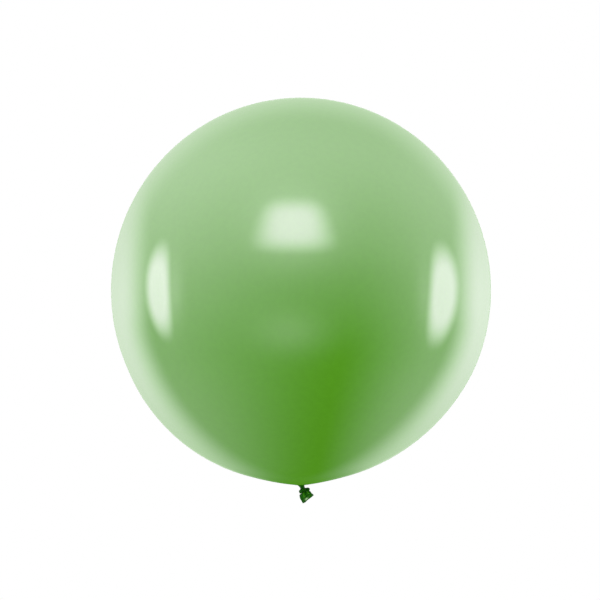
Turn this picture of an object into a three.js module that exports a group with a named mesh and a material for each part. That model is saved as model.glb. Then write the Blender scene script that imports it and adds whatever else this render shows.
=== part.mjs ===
// A jumbo round latex balloon, blown up and closed by an overhand knot in its own neck.
// Millimetres, +Z up to the crown. The origin is on the balloon's axis at the height where a ribbon is tied round the
// neck, -Y is the front, and +X is the side that the tail hangs to.
//
// The balloon is one dipped film. It is modelled as the regions that look and move apart: the blown-up film, the
// gathered neck, the two parts of the knot, the slack tail below it, and the rolled bead round the mouth.
import * as THREE from "three";
import { ParametricGeometry } from "three/addons/geometries/ParametricGeometry.js";

// ---- Driving dimensions ----
const CLEARANCE = 0.3; // between two pieces that meet

const BALLOON_WIDTH = 1000; // across the widest ring of the blown-up film
const BALLOON_HEIGHT = 1014; // of the same round, without the shoulder that is drawn down to the neck
const FILM = 0.03; // wall of the stretched film
const SHOULDER_RADIUS = 130; // where the film leaves the round
const SHOULDER_DROP = 6.3; // how far the shoulder is drawn down below the round
const SHOULDER_SLOPE = 0.09; // rise over run where the shoulder reaches the collar
const COLLAR_RADIUS = 10.5; // hole in the film, where the neck is gathered
const LEAN = 9; // the lower belly hangs this far to -X
const LEAN_SPAN = THREE.MathUtils.degToRad(65); // how far up from the collar the lean reaches, seen from the centre

const COLLAR_HEIGHT = 3.8; // of the collar above the middle of the ribbon's place
const WAIST_RADIUS = 6.3; // of the gathered neck where it is narrowest
const WAIST_HEIGHT = -1; // of the neck's lower end, from the middle of the ribbon's place
const NECK_OFFSET = 4; // the neck's lower end stands this far to +X
const NECK_PLEATS = 9;
const PLEAT_DEPTH = 0.12; // share of the radius

const CORE_RADIUS = 5; // of the strand inside the knot
const CORE_OFFSET = 8; // from the knot's pivot to the strand's lower end, to +X
const CORE_LENGTH = 10.5; // from the knot's pivot down to the strand's lower end
const LOOP_TUBE = 4.5; // radius of the strand that goes round the knot
const LOOP_PLAY = 1; // room round the strand in the loop's hole, which it crosses aslant
const LOOP_TILT = THREE.MathUtils.degToRad(12); // the loop rises to +X
const LOOP_SHARE = 0.5; // how far down the strand the loop goes round

const TAIL_LENGTH = 15; // from the tail's pivot to the middle of the mouth
const TAIL_WALL = 0.6; // of the slack film, which has its moulded thickness again
const THROAT_RADIUS = 4.4; // of the tail where it leaves the knot
const THROAT_FLOOR = 2; // the tail is pressed shut up to here, past its pivot
const MOUTH_WIDTH = 38; // over the bead, along the flattened mouth
const MOUTH_DEPTH = 17; // over the bead, across it
const BEAD_RADIUS = 1.5;
const TAIL_DIRECTION = new THREE.Vector3(0.43, -0.48, -0.765).normalize(); // from the knot to the mouth
const MOUTH_DIRECTION = new THREE.Vector3(-0.807, 0.184, -0.561); // along the flattened mouth, before squaring up

// ---- Places that follow from them ----
const roundCentre = COLLAR_HEIGHT + SHOULDER_DROP + BALLOON_HEIGHT / 2;
const collarPivot = new THREE.Vector3(0, 0, COLLAR_HEIGHT);
const knotPivot = new THREE.Vector3(NECK_OFFSET, 0, WAIST_HEIGHT - CLEARANCE - CORE_RADIUS);
const coreEnd = knotPivot.clone().add(new THREE.Vector3(CORE_OFFSET, 0, -CORE_LENGTH));
const tailPivot = coreEnd.clone().add(new THREE.Vector3(0, 0, -CLEARANCE - THROAT_RADIUS));

// ---- Materials ----
const filmMaterial = new THREE.MeshStandardMaterial({ color: "#7fb463", roughness: 0.2, metalness: 0 });
const slackMaterial = new THREE.MeshStandardMaterial({ color: "#1c5a10", roughness: 0.35, metalness: 0 });

const balloon = new THREE.Group();

// ---- Helpers ----
function addPiece(name, geometry, material, parent = balloon) {
  const mesh = new THREE.Mesh(geometry, material);
  mesh.name = name;
  parent.add(mesh);
  return mesh;
}

/**
 * A closed skin over a stack of rings. Each ring is { at, width, depth }: the point on the middle line and the two
 * half sizes. A ring of no size closes an end. Pleats press the rings in, by ring.pleat of their size. The rings run
 * from the top down.
 */
function ringSkin(rings, segments, pleats = 0) {
  const place = (u, v, target) => {
    const { at, width, depth, pleat = 0 } = rings[Math.round(v * (rings.length - 1))];
    const angle = -2 * Math.PI * u; // clockwise, so that rings listed from the top down face out
    const press = 1 - (pleat * (1 + Math.cos(pleats * angle))) / 2;
    target.set(width * press * Math.cos(angle), depth * press * Math.sin(angle), 0).add(at);
  };
  return new ParametricGeometry(place, segments, rings.length - 1);
}

const onAxis = (height) => new THREE.Vector3(0, 0, height);
const round = (at, radius, pleat) => ({ at, width: radius, depth: radius, pleat });

/** Rings down the upper half of a ball round a centre, from its pole to just short of its widest ring. */
function domeRings(centre, radius, steps) {
  return Array.from({ length: steps }, (_, i) => {
    const angle = ((i / steps) * Math.PI) / 2;
    const at = centre.clone().add(onAxis(radius * Math.cos(angle)));
    return round(at, i === 0 ? 0 : radius * Math.sin(angle));
  });
}

// ---- The blown-up film: a shell of even wall, open at the collar ----
const ROUND_STEPS = 28;
const SHOULDER_STEPS = 8;
const FILM_SEGMENTS = 56;

/** The film's outline from the crown to the collar, moved in by inset. */
function filmOutline(inset) {
  const halfWidth = BALLOON_WIDTH / 2 - inset;
  const halfHeight = BALLOON_HEIGHT / 2 - inset;
  const lastAngle = Math.PI - Math.asin(SHOULDER_RADIUS / halfWidth);
  const outline = [];
  for (let i = 0; i <= ROUND_STEPS; i++) {
    const angle = (lastAngle * i) / ROUND_STEPS;
    const radius = i === 0 ? 0 : halfWidth * Math.sin(angle);
    outline.push(new THREE.Vector2(radius, roundCentre + halfHeight * Math.cos(angle)));
  }

  // The shoulder leaves the round along its tangent and reaches the collar at the stated slope.
  const start = outline[ROUND_STEPS];
  const end = new THREE.Vector2(COLLAR_RADIUS, COLLAR_HEIGHT + inset);
  const startSlope = (-halfHeight * Math.sin(lastAngle)) / (halfWidth * Math.cos(lastAngle));
  const bendRadius =
    (end.y - start.y + startSlope * start.x - SHOULDER_SLOPE * end.x) / (startSlope - SHOULDER_SLOPE);
  const bend = new THREE.Vector2(bendRadius, end.y + SHOULDER_SLOPE * (bendRadius - end.x));
  const shoulder = new THREE.QuadraticBezierCurve(start, bend, end).getPoints(SHOULDER_STEPS);
  return outline.concat(shoulder.slice(1));
}

/** How far the belly hangs to -X at a point of the film, which is nothing at the collar and above the belly. */
function leanAt(radius, height) {
  const collarAngle = Math.atan2(COLLAR_RADIUS, roundCentre - COLLAR_HEIGHT);
  const angle = Math.atan2(radius, roundCentre - height) - collarAngle;
  const share = THREE.MathUtils.clamp(angle / LEAN_SPAN, 0, 1);
  return -LEAN * Math.sin(Math.PI * share ** 0.55);
}

const section = [...filmOutline(FILM), ...filmOutline(0).reverse()];
const film = new THREE.LatheGeometry(section, FILM_SEGMENTS).rotateX(Math.PI / 2);
const filmPoints = film.getAttribute("position");
for (let i = 0; i < filmPoints.count; i++) {
  const radius = Math.hypot(filmPoints.getX(i), filmPoints.getY(i));
  filmPoints.setX(i, filmPoints.getX(i) + leanAt(radius, filmPoints.getZ(i)));
}
addPiece("envelope", film, filmMaterial);

// ---- The neck: a pleated plug that turns in the collar like a ball, and narrows to the waist ----
const neckBall = COLLAR_RADIUS - CLEARANCE;
const waistAt = new THREE.Vector3(NECK_OFFSET, 0, WAIST_HEIGHT);
const neckRings = domeRings(collarPivot, neckBall, 5).concat(round(collarPivot, neckBall, 0));
for (const share of [0.35, 0.7, 1]) {
  const radius = THREE.MathUtils.lerp(neckBall, WAIST_RADIUS, share ** 0.7);
  neckRings.push(round(collarPivot.clone().lerp(waistAt, share), radius, PLEAT_DEPTH * share));
}
neckRings.push(round(waistAt, 0));
addPiece("neck", ringSkin(neckRings, 6 * NECK_PLEATS, NECK_PLEATS), slackMaterial);

// ---- The strand inside the knot, with a ball at the waist for the knot to nod on ----
const coreLine = new THREE.QuadraticBezierCurve3(
  knotPivot,
  knotPivot.clone().lerp(coreEnd, 0.5).add(new THREE.Vector3(1, 0, 2)),
  coreEnd,
);
const coreRings = domeRings(knotPivot, CORE_RADIUS, 4);
for (let i = 0; i <= 8; i++) {
  coreRings.push(round(coreLine.getPoint(i / 8), CORE_RADIUS));
}
coreRings.push(round(coreEnd, 0));
addPiece("knot_core", ringSkin(coreRings, 28), slackMaterial);

// ---- The turn of neck that goes round the strand ----
const LOOP_HOLE = CORE_RADIUS + LOOP_PLAY;
const loop = addPiece(
  "knot_loop",
  new THREE.TorusGeometry(LOOP_HOLE + LOOP_TUBE, LOOP_TUBE, 14, 40),
  slackMaterial,
);
loop.position.copy(coreLine.getPoint(LOOP_SHARE));
loop.rotation.y = -LOOP_TILT;

// ---- The slack tail: a flattened cup, pressed shut at the knot and open at the mouth ----
const tail = new THREE.Group();
const mouthAxis = MOUTH_DIRECTION.clone().projectOnPlane(TAIL_DIRECTION).normalize();
const acrossMouth = TAIL_DIRECTION.clone().cross(mouthAxis);
tail.position.copy(tailPivot);
tail.quaternion.setFromRotationMatrix(new THREE.Matrix4().makeBasis(mouthAxis, acrossMouth, TAIL_DIRECTION));
balloon.add(tail);

const beadWidth = MOUTH_WIDTH / 2 - BEAD_RADIUS;
const beadDepth = MOUTH_DEPTH / 2 - BEAD_RADIUS;
const rimHeight = TAIL_LENGTH - BEAD_RADIUS - CLEARANCE;
const WALL_STEPS = 9;

/** One ring of the tail's wall at a height above the knot, moved in by inset. */
function tailRing(height, inset) {
  const share = height / TAIL_LENGTH;
  const width = THREE.MathUtils.lerp(THROAT_RADIUS, beadWidth, share ** 0.8) - inset;
  const depth = THREE.MathUtils.lerp(THROAT_RADIUS, beadDepth, share) - inset;
  return { at: onAxis(height), width, depth };
}

/** The ball at the tail's upper end, which is its lower half in the tail's own frame. */
const throatBall = domeRings(onAxis(0), THROAT_RADIUS, 4)
  .map((ring) => ({ ...ring, at: ring.at.negate() }))
  .reverse();

const tailRings = [round(onAxis(THROAT_FLOOR), 0)];
for (let i = 0; i <= WALL_STEPS; i++) {
  tailRings.push(tailRing(THREE.MathUtils.lerp(THROAT_FLOOR, rimHeight, i / WALL_STEPS), TAIL_WALL));
}
for (let i = WALL_STEPS; i >= 0; i--) {
  tailRings.push(tailRing((rimHeight * i) / WALL_STEPS, 0));
}
tailRings.push(...throatBall);
addPiece("tail", ringSkin(tailRings, 36), slackMaterial, tail);

// ---- The rolled bead round the mouth ----
class MouthLine extends THREE.Curve {
  getPoint(share, target = new THREE.Vector3()) {
    const angle = 2 * Math.PI * share;
    return target.set(beadWidth * Math.cos(angle), beadDepth * Math.sin(angle), TAIL_LENGTH);
  }
}
addPiece("mouth_bead", new THREE.TubeGeometry(new MouthLine(), 56, BEAD_RADIUS, 8, true), slackMaterial, tail);

export default balloon;
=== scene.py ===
"""A jumbo round latex balloon, blown up and tied with an overhand knot in its own neck, in a white studio."""

import math

import bmesh
import bpy
import numpy as np
from mathutils import Matrix, Vector


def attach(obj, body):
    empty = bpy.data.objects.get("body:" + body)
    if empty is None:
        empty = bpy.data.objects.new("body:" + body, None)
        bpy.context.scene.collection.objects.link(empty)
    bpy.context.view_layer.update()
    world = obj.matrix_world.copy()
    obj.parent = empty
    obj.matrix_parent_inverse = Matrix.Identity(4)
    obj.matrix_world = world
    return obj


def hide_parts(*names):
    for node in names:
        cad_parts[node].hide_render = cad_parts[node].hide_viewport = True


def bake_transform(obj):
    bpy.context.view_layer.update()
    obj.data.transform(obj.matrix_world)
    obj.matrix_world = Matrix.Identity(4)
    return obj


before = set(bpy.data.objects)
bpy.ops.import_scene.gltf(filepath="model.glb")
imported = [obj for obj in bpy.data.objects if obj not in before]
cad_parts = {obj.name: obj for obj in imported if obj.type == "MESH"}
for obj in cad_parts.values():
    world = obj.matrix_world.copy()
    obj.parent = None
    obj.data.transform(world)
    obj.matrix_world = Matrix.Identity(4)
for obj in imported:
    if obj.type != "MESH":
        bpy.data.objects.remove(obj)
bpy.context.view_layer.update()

# ---- Camera ----
# A long lens, level and straight in front, as a catalogue picture of a balloon is taken. It stands so
# far off that the near side of the round hides none of the neck.
CAMERA_LENS = 180  # mm
CAMERA_SENSOR = 36  # mm
CAMERA_AT = Vector((-0.00263, -7.912, 0.4915))

camera_data = bpy.data.cameras.new("camera")
camera_data.lens = CAMERA_LENS
camera_data.sensor_width = CAMERA_SENSOR
camera_data.clip_end = 100
camera = bpy.data.objects.new("camera", camera_data)
camera.location = CAMERA_AT
camera.rotation_euler = (math.radians(90), 0, 0)
bpy.context.collection.objects.link(camera)
bpy.context.scene.camera = camera
bpy.context.scene.view_settings.view_transform = "Standard"


class Wire:
    """An output in a node tree. Signs between wires and numbers add Math nodes; node() adds any other."""

    def __init__(self, tree, socket):
        self.tree = tree
        self.socket = socket

    @classmethod
    def node(cls, tree, kind, settings=None, sockets=None, out=0):
        made = tree.nodes.new(kind)
        for name, value in (settings or {}).items():
            setattr(made, name, value)
        for name, value in (sockets or {}).items():
            if isinstance(value, Wire):
                tree.links.new(value.socket, made.inputs[name])
            else:
                made.inputs[name].default_value = value
        return cls(tree, made.outputs[out]) if len(made.outputs) else made

    def math(self, operation, *values):
        sockets = {i: value for i, value in enumerate((self, *values))}
        return Wire.node(self.tree, "ShaderNodeMath", {"operation": operation}, sockets)

    def reflected(self, operation, first):
        return Wire.node(self.tree, "ShaderNodeMath", {"operation": operation}, {0: first, 1: self})

    def __add__(self, other):
        return self.math("ADD", other)

    __radd__ = __add__

    def __mul__(self, other):
        return self.math("MULTIPLY", other)

    __rmul__ = __mul__

    def __sub__(self, other):
        return self.math("SUBTRACT", other)

    def __rsub__(self, other):
        return self.reflected("SUBTRACT", other)

    def __truediv__(self, other):
        return self.math("DIVIDE", other)

    def __pow__(self, other):
        return self.math("POWER", other)

    def __neg__(self):
        return self * -1

    def clamped(self):
        return self.math("MAXIMUM", 0).math("MINIMUM", 1)

    def step(self, low, high):
        """0 below low and 1 above high, smooth between them."""
        settings = {"interpolation_type": "SMOOTHSTEP"}
        sockets = {"Value": self, "From Min": low, "From Max": high}
        return Wire.node(self.tree, "ShaderNodeMapRange", settings, sockets)


# ---- Room ----
# A white room, evenly lit from all sides. It gives the soft light, and the white behind the balloon.
ROOM_GLOW = 1.0

world = bpy.data.worlds.new("room")
world.use_nodes = True
bpy.context.scene.world = world
tree = world.node_tree
tree.nodes.clear()
background = Wire.node(tree, "ShaderNodeBackground", sockets={"Color": (1, 1, 1, 1), "Strength": ROOM_GLOW})
Wire.node(tree, "ShaderNodeOutputWorld", sockets={"Surface": background})

# ---- Light tent ----
# White cloth drawn right round the balloon and lit from outside, with a soft box over the camera and
# one on each side, and two tall windows behind. Polish mirrors it, and nothing else shows it. Each light
# is laid out by where a round ball mirrors it to the front: right and up from its middle, in radii.
TENT_RADIUS = 30
TENT_CENTRE = 0.5171  # the height of the balloon's middle
TENT_SWELL = 0.031  # how much nearer the outline a near camera sees a place on the ball
TENT_GRAZE = 0.026  # how much more grazing that camera sees it
POLISH_INDEX = 1.5
# Real latex mirrors ever more towards its outline. Here that is held back, so the outline doesn't burn
# out to white from other sides. The step is in 1 less the cosine of the look.
GRAZE_DULL, GRAZE_STEP = 0.85, (0.3, 0.93)
CEILING_GLOW, CEILING_LOW, CEILING_HIGH = 0.149, 0.01, 0.755
WALL_GLOW, WALL_LOW, WALL_HIGH = 0.106, -0.375, 0.267
FAN_RIGHT, FAN_DOWN = -0.076, -1.889  # the point the side walls' shading fans out from
LEFT_GLOW, LEFT_FROM, LEFT_TO = 0.17, -0.205, 0.7
RIGHT_GLOW, RIGHT_FROM, RIGHT_TO = 0.156, 0.165, 0.6
RIM_GLOW, RIM_FROM, RIM_TO, RIM_LOW, RIM_HIGH = 0.6, 0.859, 1.243, -0.6, 0.2
WINDOW_LEFT, WINDOW_RIGHT, WINDOW_FADE = 0.615, 0.665, 2.007
WINDOW_WIDE, WINDOW_TALL, WINDOW_MIDDLE, WINDOW_ROUND, WINDOW_SOFT = 0.86, 0.88, -0.165, 1.57, 0.1
WINDOW_TOP = (-0.08, 1.2)
BLEND = 0.3  # from the left half to the right
BACKDROP_GLOW, BACKDROP_STEP = 0.5, (0.84, 0.97)  # plain cloth straight behind the balloon
LAMP_COLOUR = (0.965, 0.85, 1, 1)  # of the brightest cloth; the rest is white
LAMP_SHARE = (0.3, 0.65)
BOUNCE_COLOUR = (0.28, 1, 0.045, 1)  # the balloon's own green, thrown back by the cloth
BOUNCE_SIDE, BOUNCE_BELOW, BOUNCE_STEP = 0.03, 0.2, (0.6, 0.95)

tent_mesh = bpy.data.meshes.new("tent")
cloth = bmesh.new()
bmesh.ops.create_uvsphere(
    cloth, u_segments=48, v_segments=24, radius=TENT_RADIUS, matrix=Matrix.Translation((0, 0, TENT_CENTRE))
)
cloth.to_mesh(tent_mesh)
cloth.free()
tent = bpy.data.objects.new("tent", tent_mesh)
bpy.context.collection.objects.link(tent)
tent_cloth = bpy.data.materials.new("tent_cloth")
tent_cloth.use_nodes = True
tent_cloth.cycles.emission_sampling = "NONE"
tent_mesh.materials.append(tent_cloth)
tree = tent_cloth.node_tree
tree.nodes.clear()
place = Wire.node(tree, "ShaderNodeTexCoord", out="Object")
side, away, up = [Wire.node(tree, "ShaderNodeSeparateXYZ", sockets={0: place}, out=i) for i in range(3)]
up = up - TENT_CENTRE
reach = (side * side + away * away + up * up).math("SQRT")
halfway = away / reach - 1
share = ((side * side + up * up) / (reach * reach) + halfway * halfway).math("SQRT").math("MAXIMUM", 0.0001)
facing = -halfway / share
right = side / reach / share * (1 + TENT_SWELL * facing)
above = up / reach / share * (1 + TENT_SWELL * facing)
seen = (facing - TENT_GRAZE * (1 - facing * facing)).math("MAXIMUM", 0)
bent = (POLISH_INDEX**2 - 1 + seen * seen).math("SQRT")
upright = (seen * POLISH_INDEX**2 - bent) / (seen * POLISH_INDEX**2 + bent)
flat = (seen - bent) / (seen + bent)
polish = (upright * upright + flat * flat) / 2  # the share of light that a coat of latex polish mirrors
polish = polish * (1 - GRAZE_DULL * (1 - seen).step(*GRAZE_STEP))


def rounded(across, along, power):
    """The size of the rounded box through a place: 1 on the box of half sizes 1."""
    return (across.math("ABSOLUTE") ** power + along.math("ABSOLUTE") ** power) ** (1 / power)


def soft_box(middle, half, glow, soft, power, taper=0, tilt=0, bow=0):
    """A lit rounded box with soft edges: taper narrows its top, tilt leans it and bow bends it."""
    rise = above - middle[1]
    width = half[0] * (1 - taper * rise / half[1] / 2)
    across = (right - middle[0] - tilt * rise - bow * rise * rise) / width
    return glow * (1 - rounded(across, rise / half[1], power).step(1 - soft, 1 + soft))


def glow_spot(middle, width, height, glow):
    """An oval patch of light with no edge."""
    spread = ((right - middle[0]) / width) ** 2 + ((above - middle[1]) / height) ** 2
    return glow * (-spread).math("EXPONENT")


half = right.step(-BLEND, BLEND)
fan = (right - FAN_RIGHT) / (above - FAN_DOWN)
cloth_glow = CEILING_GLOW * above.step(CEILING_LOW, CEILING_HIGH)
cloth_glow = cloth_glow + WALL_GLOW * above.step(WALL_LOW, WALL_HIGH)
cloth_glow = cloth_glow + LEFT_GLOW * (-fan).step(LEFT_FROM, LEFT_TO)
cloth_glow = cloth_glow + RIGHT_GLOW * fan.step(RIGHT_FROM, RIGHT_TO)
outward = (right * right + above * above).math("SQRT")
cloth_glow = cloth_glow + RIM_GLOW * outward.step(RIM_FROM, RIM_TO) * above.step(RIM_LOW, RIM_HIGH)
below = (above - WINDOW_MIDDLE).math("MINIMUM", 0)
window = rounded(right / WINDOW_WIDE, below / WINDOW_TALL, WINDOW_ROUND)
window = window.step(1 - WINDOW_SOFT, 1 + WINDOW_SOFT)
window = window * (1 - above.step(*WINDOW_TOP))
window_glow = WINDOW_LEFT + (WINDOW_RIGHT - WINDOW_LEFT) * half
window_glow = window_glow * (1 - (-above).step(0, WINDOW_FADE))
tent_glow = cloth_glow * (1 - window) + cloth_glow.math("MAXIMUM", window_glow) * window
over_camera = soft_box((-0.037, 0.33), half=(0.155, 0.108), glow=0.33, soft=0.52, power=3.6, taper=0.33)
over_camera = over_camera + glow_spot((-0.035, 0.33), width=0.2, height=0.17, glow=0.13)
on_left = soft_box((-0.749, 0), half=(0.055, 0.2), glow=0.49, soft=0.42, power=2.3, tilt=-0.04, bow=0.55)
on_left = on_left + glow_spot((-0.665, -0.01), width=0.045, height=0.17, glow=0.08)
on_right = soft_box(
    (0.747, -0.023), half=(0.066, 0.212), glow=0.49, soft=0.42, power=2.3, tilt=0.06, bow=-0.45
)
on_right = on_right + glow_spot((0.65, -0.03), width=0.045, height=0.18, glow=0.06)
off_floor = glow_spot((-0.055, -0.215), width=0.188, height=0.115, glow=0.065)
tent_glow = tent_glow + over_camera + on_left + on_right + off_floor
backdrop = (1 - seen).step(*BACKDROP_STEP)
tent_glow = tent_glow + (BACKDROP_GLOW - tent_glow) * backdrop

# The cloth is brighter where the polish mirrors less, so a glow is what the front of the balloon shows.
lamp_share = tent_glow.step(*LAMP_SHARE)
tent_colour = Wire.node(
    tree, "ShaderNodeMix", {"data_type": "RGBA"}, {0: lamp_share, 6: (1, 1, 1, 1), 7: LAMP_COLOUR}, out=2
)
shine = Wire.node(tree, "ShaderNodeEmission", sockets={"Color": tent_colour, "Strength": tent_glow / polish})
bounce = BOUNCE_SIDE + (BOUNCE_BELOW - BOUNCE_SIDE) * (-above).step(*BOUNCE_STEP)
green = Wire.node(tree, "ShaderNodeEmission", sockets={"Color": BOUNCE_COLOUR, "Strength": bounce})
lit_cloth = Wire.node(tree, "ShaderNodeAddShader", sockets={0: shine, 1: green})
Wire.node(tree, "ShaderNodeOutputMaterial", sockets={"Surface": lit_cloth})
tent.visible_camera = tent.visible_diffuse = tent.visible_transmission = tent.visible_shadow = False

# ---- Floor ----
# White, and well below the balloon, which floats. It isn't there from below.
FLOOR_HEIGHT = -0.7
FLOOR_SIZE = 60

bpy.ops.mesh.primitive_plane_add(size=FLOOR_SIZE, location=(0, 0, FLOOR_HEIGHT))
floor = bpy.context.object
floor.name = "floor"
floor_white = bpy.data.materials.new("floor_white")
floor_white.use_nodes = True
tree = floor_white.node_tree
tree.nodes.clear()
bright = Wire.node(tree, "ShaderNodeEmission", sockets={"Color": (1, 1, 1, 1), "Strength": 1})
clear = Wire.node(tree, "ShaderNodeBsdfTransparent")
below = Wire.node(tree, "ShaderNodeNewGeometry", out="Backfacing")
whole = Wire.node(tree, "ShaderNodeMixShader", sockets={0: below, 1: bright, 2: clear})
Wire.node(tree, "ShaderNodeOutputMaterial", sockets={"Surface": whole})
floor.data.materials.append(floor_white)
floor.visible_diffuse = floor.visible_glossy = floor.visible_transmission = floor.visible_shadow = False

# ---- Film ----
# The blown-up round: latex dipped on a former, stretched to a skin some hundredths of a millimetre
# thick, and taut with gas. It runs from the crown down to the collar, where the neck gathers it.
FILM_WIDTH = 1.0  # m, as all lengths of the film
FILM_HEIGHT = 1.014
FILM_CENTRE = 0.5171
SHOULDER_RADIUS = 0.13
SHOULDER_SLOPE = 0.09
COLLAR_RADIUS = 0.0105
COLLAR_HEIGHT = 0.0038
FILM_LEAN = 0.009
LEAN_SPAN = math.radians(65)
FILM_COLUMNS = 240
FILM_ROWS = 260
ROUND_SHARE = 0.76  # of the rows, on the round above the shoulder
SHOULDER_SHARE = 0.22
PLUG_RISE = 0.003  # the film is closed across the collar by a low cone that rises into the round
WELD = 0.000002
GATHERS = 9  # folds where the film meets the neck
GATHER_DEPTH = 0.0007
GATHER_REACH = 0.010

film_tree = bpy.data.node_groups.new("blown_film", "GeometryNodeTree")
film_sizes = {
    "Width": FILM_WIDTH,
    "Height": FILM_HEIGHT,
    "Centre": FILM_CENTRE,
    "Shoulder Radius": SHOULDER_RADIUS,
    "Shoulder Slope": SHOULDER_SLOPE,
    "Collar Radius": COLLAR_RADIUS,
    "Collar Height": COLLAR_HEIGHT,
    "Lean": FILM_LEAN,
    "Lean Span": LEAN_SPAN,
    "Gather Depth": GATHER_DEPTH,
    "Gather Reach": GATHER_REACH,
}
film_sockets = {
    name: film_tree.interface.new_socket(name, in_out="INPUT", socket_type="NodeSocketFloat")
    for name in film_sizes
}
film_tree.interface.new_socket("Film", in_out="OUTPUT", socket_type="NodeSocketGeometry")
inputs = film_tree.nodes.new("NodeGroupInput")
size = {name: Wire(film_tree, inputs.outputs[name]) for name in film_sizes}


def in_film(kind, settings=None, sockets=None, out=0):
    return Wire.node(film_tree, kind, settings, sockets, out)


def sine(value):
    return value.math("SINE")


def cosine(value):
    return value.math("COSINE")


row_count, column_count = FILM_ROWS + 1, FILM_COLUMNS + 1
grid_sizes = {"Size X": 1, "Size Y": 1, "Vertices X": row_count, "Vertices Y": column_count}
grid = in_film("GeometryNodeMeshGrid", None, grid_sizes)
grid_place = in_film("GeometryNodeInputPosition")
along = in_film("ShaderNodeSeparateXYZ", None, {0: grid_place}, 0) + 0.5
around = (in_film("ShaderNodeSeparateXYZ", None, {0: grid_place}, 1) + 0.5) * (2 * math.pi)
half_width = size["Width"] / 2
half_height = size["Height"] / 2
last_angle = math.pi - (size["Shoulder Radius"] / half_width).math("ARCSINE")
angle = last_angle * (along / ROUND_SHARE).clamped()
shoulder = ((along - ROUND_SHARE) / SHOULDER_SHARE).clamped()
plug = ((along - ROUND_SHARE - SHOULDER_SHARE) / (1 - ROUND_SHARE - SHOULDER_SHARE)).clamped()

# The shoulder is a curve that leaves the round along its tangent and reaches the collar at the stated slope.
start_radius = half_width * sine(last_angle)
start_height = half_height * cosine(last_angle)
end_height = size["Collar Height"] - size["Centre"]
start_slope = -half_height * sine(last_angle) / (half_width * cosine(last_angle))
slope = size["Shoulder Slope"]
bend_radius = (end_height - start_height + start_slope * start_radius - slope * size["Collar Radius"]) / (
    start_slope - slope
)
bend_height = end_height + slope * (bend_radius - size["Collar Radius"])
first, middle, last = (1 - shoulder) ** 2, 2 * shoulder * (1 - shoulder), shoulder**2
shoulder_radius = (first - 1) * start_radius + middle * bend_radius + last * size["Collar Radius"]
shoulder_height = (first - 1) * start_height + middle * bend_height + last * end_height
radius = (half_width * sine(angle) + shoulder_radius) * (1 - plug)
height = half_height * cosine(angle) + shoulder_height + plug * PLUG_RISE

# Above the collar the belly hangs a little to one side, and round the collar the film gathers in small folds.
collar_angle = math.atan2(COLLAR_RADIUS, FILM_CENTRE - COLLAR_HEIGHT)
lean_share = ((radius.math("ARCTAN2", -height) - collar_angle) / size["Lean Span"]).clamped()
lean = -size["Lean"] * sine(lean_share**0.55 * math.pi)
fade = (-((radius - size["Collar Radius"]).math("MAXIMUM", 0)) / size["Gather Reach"]).math("EXPONENT")
folds = cosine(around * GATHERS + 0.2) + 0.7 * cosine(around * (GATHERS - 4) + 0.8)
gather = folds * fade * shoulder**2 * size["Gather Depth"] * (1 - plug)
place = in_film(
    "ShaderNodeCombineXYZ",
    None,
    {0: radius * cosine(around) + lean, 1: radius * sine(around), 2: height + size["Centre"] + gather},
)
shaped = in_film("GeometryNodeSetPosition", None, {"Geometry": grid, "Position": place})
sewn = in_film("GeometryNodeMergeByDistance", None, {"Geometry": shaped, "Distance": WELD})
smooth = in_film("GeometryNodeSetShadeSmooth", None, {0: sewn})
realised = in_film("GeometryNodeRealizeInstances", None, {0: smooth})

film_latex = bpy.data.materials.new("film_latex")
film_latex.use_nodes = True
coated = in_film("GeometryNodeSetMaterial", None, {"Geometry": realised, "Material": film_latex})
in_film("NodeGroupOutput", None, {0: coated})

blank = bpy.data.objects.new("film_blank", bpy.data.meshes.new("film_blank"))
bpy.context.collection.objects.link(blank)
modifier = blank.modifiers.new("blown_film", "NODES")
modifier.node_group = film_tree
for name, value in film_sizes.items():
    modifier[film_sockets[name].identifier] = value
film_mesh = bpy.data.meshes.new_from_object(blank.evaluated_get(bpy.context.evaluated_depsgraph_get()))
bpy.data.objects.remove(blank)
film = bpy.data.objects.new("film", film_mesh)
bpy.context.collection.objects.link(film)
shell = bmesh.new()
shell.from_mesh(film_mesh)
bmesh.ops.recalc_face_normals(shell, faces=shell.faces)
shell.to_mesh(film_mesh)
shell.free()

# Pastel latex under a clear polish: deeper in colour towards the bottom, and paling upwards to near the
# middle.
FILM_PALE = (0.0925, 0.325, 0.0148, 1)
FILM_DEEP = (0.0845, 0.292, 0.0132, 1)
FILM_GATHERED = (0.035, 0.19, 0.006, 1)
NECK_DEEP = (0.0095, 0.026)  # m from the neck's middle: the gathered film lies thick there
MOTTLE_SCALE, MOTTLE_STEP, MOTTLE_SHARE = 60, (0.3, 0.7), 0.045  # the pigment lies a little uneven
PALE_FROM, PALE_TO = 0.0, 0.45  # m up
NECK_DULL = (0.04, 0.24)  # m from the neck's middle: the film is less stretched there, and not so glossy
tree = film_latex.node_tree
tree.nodes.clear()
where = Wire.node(tree, "ShaderNodeTexCoord", out="Object")
film_height = Wire.node(tree, "ShaderNodeSeparateXYZ", sockets={0: where}, out=2)
pale = film_height.step(PALE_FROM, PALE_TO)
film_colour = Wire.node(
    tree, "ShaderNodeMix", {"data_type": "RGBA"}, {0: pale, 6: FILM_DEEP, 7: FILM_PALE}, out=2
)
mottle = Wire.node(
    tree, "ShaderNodeTexNoise", None, {"Vector": where, "Scale": MOTTLE_SCALE, "Detail": 4, "Roughness": 0.6}
)
from_neck = sum(
    Wire.node(tree, "ShaderNodeSeparateXYZ", sockets={0: where}, out=i) ** 2 for i in range(3)
).math("SQRT")
glancing = Wire.node(tree, "ShaderNodeLayerWeight", sockets={"Blend": 0.5}, out="Facing")
film_gloss = from_neck.step(*NECK_DULL) * (1 - GRAZE_DULL * glancing.step(*GRAZE_STEP))
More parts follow.
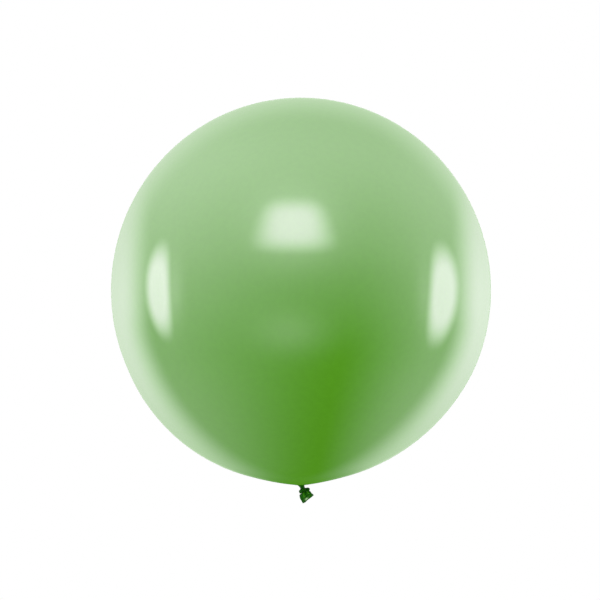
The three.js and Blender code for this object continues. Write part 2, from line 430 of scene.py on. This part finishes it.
film_colour = Wire.node(
    tree,
    "ShaderNodeMix",
    {"data_type": "RGBA"},
    {0: from_neck.step(*NECK_DEEP), 6: FILM_GATHERED, 7: film_colour},
    out=2,
)
film_colour = Wire.node(
    tree,
    "ShaderNodeMix",
    {"data_type": "RGBA", "blend_type": "MULTIPLY"},
    {0: mottle.step(*MOTTLE_STEP) * MOTTLE_SHARE, 6: film_colour, 7: (0, 0, 0, 1)},
    out=2,
)
film_bump = Wire.node(tree, "ShaderNodeBump", None, {"Strength": 0.05, "Distance": 0.002, "Height": mottle})
surface = Wire.node(
    tree,
    "ShaderNodeBsdfPrincipled",
    None,
    {
        "Base Color": film_colour,
        "Roughness": 0.4,
        "Specular IOR Level": 0.0,
        "Coat Weight": film_gloss,
        "Coat Roughness": 0.02,
        "Coat IOR": POLISH_INDEX,
        "Normal": film_bump,
    },
)
Wire.node(tree, "ShaderNodeOutputMaterial", sockets={"Surface": surface})
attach(film, "balloon")
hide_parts("envelope")

# ---- Neck ----
# The unstretched neck below the round. The film gathers into it in pleats, and they narrow to a waist
# where the knot bites. It is as thick as it was dipped, so its green is deep.
NECK_STATIONS = (  # mm: right, down from the collar, radius
    (0.0, -1.4, 13.0),
    (0.0, -0.5, 11.8),
    (0.0, 0.5, 9.9),
    (0.5, 1.8, 8.6),
    (1.7, 3.6, 7.7),
    (3.1, 5.6, 7.1),
    (3.9, 7.4, 6.8),
    (4.4, 8.6, 6.4),
    (4.6, 9.2, 5.4),
)
NECK_RINGS = 60
NECK_COLUMNS = 144
NECK_PLEATS = 9
PLEAT_DEPTH = 0.13
PLEAT_TOP, PLEAT_RUN = 1.4, 10.5  # mm: the pleats deepen from above the collar down to the waist
PLEAT_START = 0.25  # of their depth, at the top
NECK_THIN = 0.5  # how thin the neck is marked just below the round
NECK_THIN_TOP, NECK_THIN_RUN = 0.2, 3  # mm: where that begins to fade, and over what run
MM = 0.001


def spread(values, count):
    """Rows eased through the given rows at equal steps: a Catmull-Rom curve."""
    rows = np.array(values, float)
    ends = np.vstack([2 * rows[0] - rows[1], rows, 2 * rows[-1] - rows[-2]])
    place = np.linspace(0, len(rows) - 1, count)
    i = np.minimum(place.astype(int), len(rows) - 2)
    t = (place - i)[:, None]
    a, b, c, d = (ends[i + k] for k in range(4))
    return b + 0.5 * t * (c - a + t * (2 * a - 5 * b + 4 * c - d + t * (3 * (b - c) + d - a)))


def pleated(turn, count, depth, phase=0.0, sharpness=3):
    """The radius share of a pleated ring: round ridges with narrow valleys between them."""
    main = (0.5 + 0.5 * np.cos(count * turn + phase)) ** sharpness
    minor = (0.5 + 0.5 * np.cos((count - 4) * turn - 1.7 * phase + 1.1)) ** (sharpness + 2)
    return 1 - depth * (main + 0.7 * minor)


def skin(name, rings, material, thin_and_painted_light=None, gloss=None, closed_along=False):
    """A smooth mesh through rings of points, closed at each end by a pole or into a loop."""
    count, columns = len(rings), len(rings[0])
    points = np.concatenate([np.reshape(rings, (-1, 3))])
    rows = count if closed_along else count - 1
    faces = []
    for row in range(rows):
        here, there = row * columns, (row + 1) % count * columns
        for column in range(columns):
            beside = (column + 1) % columns
            faces.append((here + column, here + beside, there + beside, there + column))
    marks = {"thin_and_painted_light": thin_and_painted_light, "gloss": gloss}
    marks = {mark: np.zeros(count * columns) if v is None else np.reshape(v, -1) for mark, v in marks.items()}
    if not closed_along:
        poles = np.array([np.mean(rings[0], axis=0), np.mean(rings[-1], axis=0)])
        first, last = len(points), len(points) + 1
        points = np.vstack([points, poles])
        marks = {mark: np.append(value, [value[0], value[-1]]) for mark, value in marks.items()}
        end = (count - 1) * columns
        for column in range(columns):
            beside = (column + 1) % columns
            faces.append((beside, column, first))
            faces.append((end + column, end + beside, last))
    mesh = bpy.data.meshes.new(name)
    mesh.from_pydata((points * MM).tolist(), [], faces)
    for mark, value in marks.items():
        mesh.attributes.new(mark, "FLOAT", "POINT").data.foreach_set("value", value)
    made = bpy.data.objects.new(name, mesh)
    bpy.context.collection.objects.link(made)
    tidy = bmesh.new()
    tidy.from_mesh(mesh)
    bmesh.ops.recalc_face_normals(tidy, faces=tidy.faces)
    tidy.to_mesh(mesh)
    tidy.free()
    mesh.shade_smooth()
    mesh.materials.append(material)
    return made


# Slack latex: deep green with a faint polish. It is paler where the mesh is marked as thin and where painted
# light is marked on it, and palest, with more polish, at a painted highlight.
SLACK_DEEP = (0.0085, 0.098, 0.0018, 1)
# The paler colour, both of thin latex and of painted light on ridges and streaks.
SLACK_THIN_AND_LIT = (0.052, 0.25, 0.008, 1)
# The colour of the painted highlight on the lining inside the mouth.
SLACK_LIT = (0.52, 0.76, 0.38, 1)
SLACK_COAT = 0.045
GRAIN_SCALE = 420
slack_latex = bpy.data.materials.new("slack_latex")
slack_latex.use_nodes = True
tree = slack_latex.node_tree
tree.nodes.clear()
where = Wire.node(tree, "ShaderNodeTexCoord", out="Object")
thin_and_painted_light_share = Wire.node(tree, "ShaderNodeAttribute", {"attribute_name": "thin_and_painted_light"}, out="Fac")
gloss_and_painted_highlight_share = Wire.node(tree, "ShaderNodeAttribute", {"attribute_name": "gloss"}, out="Fac")
grain = Wire.node(
    tree, "ShaderNodeTexNoise", None, {"Vector": where, "Scale": GRAIN_SCALE, "Detail": 5, "Roughness": 0.6}
)
slack_colour = Wire.node(
    tree, "ShaderNodeMix", {"data_type": "RGBA"}, {0: thin_and_painted_light_share, 6: SLACK_DEEP, 7: SLACK_THIN_AND_LIT}, out=2
)
slack_colour = Wire.node(
    tree, "ShaderNodeMix", {"data_type": "RGBA"}, {0: gloss_and_painted_highlight_share, 6: slack_colour, 7: SLACK_LIT}, out=2
)
slack_bump = Wire.node(tree, "ShaderNodeBump", None, {"Strength": 0.35, "Distance": 0.0004, "Height": grain})
surface = Wire.node(
    tree,
    "ShaderNodeBsdfPrincipled",
    None,
    {
        "Base Color": slack_colour,
        "Roughness": 0.45,
        "Specular IOR Level": 0.0,
        "Coat Weight": SLACK_COAT + gloss_and_painted_highlight_share,
        "Coat Roughness": 0.16,
        "Coat IOR": POLISH_INDEX,
        "Normal": slack_bump,
    },
)
Wire.node(tree, "ShaderNodeOutputMaterial", sockets={"Surface": surface})

COLLAR = COLLAR_HEIGHT / MM
turns = np.linspace(0, 2 * math.pi, NECK_COLUMNS, endpoint=False)
neck_rings, neck_thin = [], []
for right, down, neck_radius in spread(NECK_STATIONS, NECK_RINGS):
    share = min(max((down + PLEAT_TOP) / PLEAT_RUN, 0), 1)
    pleat_depth = PLEAT_DEPTH * (PLEAT_START + (1 - PLEAT_START) * share)
    fold = pleated(turns, NECK_PLEATS, pleat_depth, 1.5 * share)
    ring_radius = neck_radius * fold
    across, deep = right + ring_radius * np.cos(turns), ring_radius * np.sin(turns)
    neck_rings.append(np.stack([across, deep, np.full_like(turns, COLLAR - down)], 1))
    thinned = 1 - min(max((down - NECK_THIN_TOP) / NECK_THIN_RUN, 0), 1)
    neck_thin.append(np.full_like(turns, NECK_THIN * thinned**2))
neck = skin("gathered_neck", np.array(neck_rings), slack_latex, np.array(neck_thin))
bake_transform(neck)
neck.visible_glossy = False
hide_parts("neck")

# ---- Knot ----
# The neck's own strand, stretched thin and tied on itself in an overhand knot. It enters from the
# waist, goes round itself, and leaves forward into the tail.
STRAND_GAP = 7.3  # mm between the strand's middles where two turns press together
STRAND_STEP = 1.6
STRAND_RADIUS, STRAND_FLARE, FLARE_SHARE = 4.55, 1.15, 0.07  # it is fatter where it leaves the neck
SLACK_SCALE = 0.62  # of the gap, for the slack knot that is pulled tight
APART = 1.7  # gaps of strand, at least, between two points that press on each other
PULL_SHARE = 0.35
PUSHES = 4  # at most, in each step
KNOT_REACH = 9.5  # mm of the tightened knot kept above and below its middle
EASINGS = 12  # smoothing passes over the whole line, once its ends are joined on
KNOT_STEPS = 500
STRAND_COLUMNS = 56
STRAND_PLEATS = 7
KNOT_AT = np.array((8.9, -0.5, -11.0))
KNOT_LEAN = math.radians(38)
KNOT_SQUASH = np.array((1.04, 0.95, 0.8))


def stepped(line, step=None, count=None):
    """The same line with its points at equal steps."""
    run = np.r_[0, np.cumsum(np.linalg.norm(np.diff(line, axis=0), axis=1))]
    place = np.linspace(0, run[-1], count or max(int(round(run[-1] / step)), 8) + 1)
    return np.stack([np.interp(place, run, line[:, k]) for k in range(3)], 1)


# A slack trefoil with straight ends is pulled tight: each point moves part of the way to the middle
# between its neighbours, and turns that come too near push each other off.
pull = np.linspace(-2.15, 2.15, 400)
slack = np.stack([pull**3 - 3 * pull, pull**4 - 4 * pull**2 + 1.5, (pull**5 - 10 * pull) / 5], 1)
slack = slack * (STRAND_GAP * SLACK_SCALE)
ease = np.linspace(0, 1, 60)[1:, None]
upper_end = slack[-1] + ease * np.array([-slack[-1][0], -slack[-1][1], 2 * STRAND_GAP])
lower_end = (slack[0] + ease * np.array([-slack[0][0], -slack[0][1], -2 * STRAND_GAP]))[::-1]
strand = stepped(np.concatenate([lower_end, slack, upper_end]), STRAND_STEP)
apart = int(math.ceil(APART * STRAND_GAP / STRAND_STEP))
for _ in range(KNOT_STEPS):
    held = strand[0].copy(), strand[-1].copy()
    strand[1:-1] += PULL_SHARE * ((strand[:-2] + strand[2:]) / 2 - strand[1:-1])
    for _ in range(PUSHES):
        between = strand[:, None] - strand[None]
        distance = np.linalg.norm(between, axis=2)
        one, other = np.triu_indices(len(strand), apart)
        near = distance[one, other] < STRAND_GAP
        one, other = one[near], other[near]
        if not len(one):
            break
        gap = distance[one, other][:, None]
        push = between[one, other] / gap * (STRAND_GAP - gap) / 4
        np.add.at(strand, one, push)
        np.add.at(strand, other, -push)
    strand[0], strand[-1] = held
    strand = stepped(strand, STRAND_STEP)

strand = strand[np.abs(strand[:, 2]) < KNOT_REACH][::-1] * np.array((-1, 1, 1)) * KNOT_SQUASH
turned = np.stack(
    [
        strand[:, 0] * math.cos(KNOT_LEAN) - strand[:, 2] * math.sin(KNOT_LEAN),
        strand[:, 1],
        strand[:, 0] * math.sin(KNOT_LEAN) + strand[:, 2] * math.cos(KNOT_LEAN),
    ],
    1,
)
knot_line = turned + KNOT_AT
ENTRY = np.array([(4.5, 0, -1.0), (4.6, 0, -2.6)])
EXIT = np.array([(12.9, -1.6, -19.4), (12.7, -4.0, -20.4), (12.5, -6.0, -20.0)])
knot_line = stepped(np.concatenate([ENTRY, knot_line, EXIT]), 0.6)
for _ in range(EASINGS):
    knot_line[1:-1] += 0.5 * ((knot_line[:-2] + knot_line[2:]) / 2 - knot_line[1:-1])


def carried(line, first_side):
    """A frame along a line, carried without twist: the line's direction, a side and the other side."""
    along = np.gradient(line, axis=0)
    along /= np.linalg.norm(along, axis=1)[:, None]
    sides = []
    side_now = np.array(first_side, float)
    for direction in along:
        side_now = side_now - direction * (side_now @ direction)
        side_now /= np.linalg.norm(side_now)
        sides.append(side_now.copy())
    sides = np.array(sides)
    return along, sides, np.cross(along, sides)


along, side, cross = carried(knot_line, (1, 0, 0))
share = np.linspace(0, 1, len(knot_line))
strand_radius = STRAND_RADIUS + STRAND_FLARE * np.exp(-((share / FLARE_SHARE) ** 2))
turns = np.linspace(0, 2 * math.pi, STRAND_COLUMNS, endpoint=False)
rings, ridge_painted_light = [], []
for i, point in enumerate(knot_line):
    phase = 9 * share[i] + 0.6 * math.sin(23 * share[i])
    fold = pleated(turns, STRAND_PLEATS, 0.15, phase, 4)
    ring_radius = strand_radius[i] * fold * (1 + 0.03 * math.sin(61 * share[i]) * np.cos(2 * turns + phase))
    out = np.cos(turns)[:, None] * side[i] + np.sin(turns)[:, None] * cross[i]
    rings.append(point + ring_radius[:, None] * out)
    # Painted light: the ridges of the pleats are marked paler, more in some stretches of the strand than
    # others.
    ridge_painted_light.append(0.12 * np.clip(fold - 0.9, 0, 1) * 10 * (0.4 + 0.6 * math.sin(9 * share[i]) ** 2))
knot = skin("tied_strand", np.array(rings), slack_latex, np.array(ridge_painted_light))
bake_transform(knot)
knot.visible_glossy = False
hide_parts("knot_core", "knot_loop")

# ---- Tail ----
# What is left of the neck past the knot: a slack, flattened funnel of latex that fans out over the
# knot's front and hangs down to the mouth. It is hollow and folds lie along it.
TAIL_STATIONS = (  # mm: right, away, up, half width, half depth
    (12.6, -3.0, -20.0, 4.4, 4.4),
    (12.0, -8.0, -18.3, 9.2, 4.0),
    (11.4, -12.2, -16.8, 15.4, 3.6),
    (11.6, -14.4, -19.8, 17.4, 4.0),
    (14.0, -13.0, -25.4, 18.3, 7.2),
    (17.2, -10.0, -30.4, 17.3, 10.4),
)
TAIL_HEADINGS = (
    (0, -1, 0.1),
    (0, -1, 0.25),
    (0, -0.9, -0.45),
    (0.1, -0.55, -0.8),
    (0.35, -0.45, -0.8),
    (0.54, -0.45, -0.712),
)
MOUTH_WIDE = np.array((-0.74, 0.17, -0.65))
TAIL_DOWN = np.array((0.54, -0.45, -0.712))
TAIL_RINGS = 90
TAIL_COLUMNS = 200
TAIL_WALL = 0.6
TAIL_FOLDS = 8
LINING_START = 12  # the lining starts after this ring, in the throat, and is closed there
# The pale patch of lining near the mouth is a painted highlight, and it gets more polish too.
LIT_FROM, LIT_TURN, LIT_WIDTH = 0.7, 1.3, 0.21  # the pale patch of lining: how far down, and where round


def mouth_wave(turn):
    """How far the mouth's rim stands down from flat, in mm."""
    return 0.9 * np.cos(2 * turn + 0.6) + 0.5 * np.cos(3 * turn - 1.2) + 0.25 * np.cos(7 * turn)


tail_line = spread(TAIL_STATIONS, TAIL_RINGS)
tail_share = np.linspace(0, 1, TAIL_RINGS)
down = spread(TAIL_HEADINGS, TAIL_RINGS)
down /= np.linalg.norm(down, axis=1)[:, None]
turns = np.linspace(0, 2 * math.pi, TAIL_COLUMNS, endpoint=False)


def tail_ring(row, inset):
    """One ring of the funnel, drawn in by the given mm, and how thin the sheet is marked there, with painted
    light on the front.
    """
    part = tail_share[row]
    wide = MOUTH_WIDE * part**0.9 + np.array((-1, 0.0, -0.1)) * (1 - part**0.9)
    wide = wide - down[row] * (wide @ down[row])
    wide /= np.linalg.norm(wide)
    deep = np.cross(down[row], wide)
    half_wide, half_deep = tail_line[row, 3] - inset, tail_line[row, 4] - inset
    fold = pleated(turns, TAIL_FOLDS, 0.30 - 0.24 * part, 0.5 + 0.8 * part, 3)
    ripple = 0.5 * np.sin(5 * turns + 2.0 * part) * (1 - part) * part * 4
    cosines, sines = np.cos(turns), np.sin(turns)
    blunt = 1 - 0.22 * part
    across = (np.sign(cosines) * np.abs(cosines) ** blunt * half_wide * fold)[:, None] * wide
    through = (np.sign(sines) * np.abs(sines) ** blunt * (half_deep * fold + ripple))[:, None] * deep
    fall = (mouth_wave(turns) * part**3)[:, None] * down[row]
    # Two pale streaks and the pale ridges on the front are painted light: they stand for light that comes
    # through the thin sheet.
    front = np.sin(turns) < 0
    stroke = 1.2 * np.exp(-(((turns - 4.90) / 0.11) ** 2)) * np.clip(part * 4, 0, 1)
    slanting = np.exp(-(((turns - 4.72 + 0.75 * part) / 0.09) ** 2))
    stroke += 0.7 * slanting * np.clip(4 * part * (1.3 - part), 0, 1)
    ridges = np.clip((fold - 0.93) * 12, 0, 1) * np.where(turns < 4.75, 0.55, 0.08) * np.clip(part * 2, 0, 1)
    thinness_and_painted_light = np.where(front, np.clip(stroke + ridges, 0, 1), 0.25 * part)
    return tail_line[row, :3] + across + through + fall, thinness_and_painted_light


outer = [tail_ring(row, 0.0) for row in range(TAIL_RINGS)]
inner = [tail_ring(row, TAIL_WALL) for row in range(TAIL_RINGS - 1, LINING_START, -1)]
tail_rings = np.array([ring for ring, _ in outer + inner])
tail_thin_and_painted_light = np.array([thin_and_painted_light for _, thin_and_painted_light in outer + inner])
lining = np.array([0] * len(outer) + [1] * len(inner))[:, None]
ring_share = np.r_[tail_share, tail_share[TAIL_RINGS - 1 : LINING_START : -1]]
near_mouth = np.clip((ring_share - LIT_FROM) * 4, 0, 1)[:, None]
lit = np.exp(-(((turns - LIT_TURN) / LIT_WIDTH) ** 2))[None]
# The painted highlight: a pale patch on the lining near the mouth, which also raises the coat there.
tail_gloss_and_painted_highlight = lining * near_mouth * lit
tail_thin_and_painted_light = np.maximum(tail_thin_and_painted_light, tail_gloss_and_painted_highlight)
tail = skin("slack_tail", tail_rings, slack_latex, tail_thin_and_painted_light, tail_gloss_and_painted_highlight)
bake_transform(tail)
tail.visible_glossy = False
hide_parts("tail")

# ---- Mouth bead ----
# The rim, rolled up on itself when the balloon was made so that fingers can hold it: a thick ring, a
# little wavy.
BEAD_RADIUS = 1.5
BEAD_COLUMNS = 24
mouth_ring, _ = tail_ring(TAIL_RINGS - 1, TAIL_WALL / 2)
ahead = np.roll(mouth_ring, -1, axis=0) - np.roll(mouth_ring, 1, axis=0)
ahead /= np.linalg.norm(ahead, axis=1)[:, None]
bead_down = TAIL_DOWN - ahead * (ahead @ TAIL_DOWN)[:, None]
bead_down /= np.linalg.norm(bead_down, axis=1)[:, None]
bead_out = np.cross(ahead, bead_down)
bead_turns = np.linspace(0, 2 * math.pi, BEAD_COLUMNS, endpoint=False)
bead_radius = BEAD_RADIUS * (1 + 0.08 * np.cos(9 * turns) + 0.05 * np.cos(14 * turns + 1))
bead_rings = (
    mouth_ring[:, None]
    + bead_radius[:, None, None] * np.cos(bead_turns)[None, :, None] * bead_out[:, None]
    + bead_radius[:, None, None] * np.sin(bead_turns)[None, :, None] * bead_down[:, None]
)
mouth_bead = skin("rolled_bead", bead_rings, slack_latex, closed_along=True)
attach(mouth_bead, "tail")
mouth_bead.visible_glossy = False
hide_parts("mouth_bead")
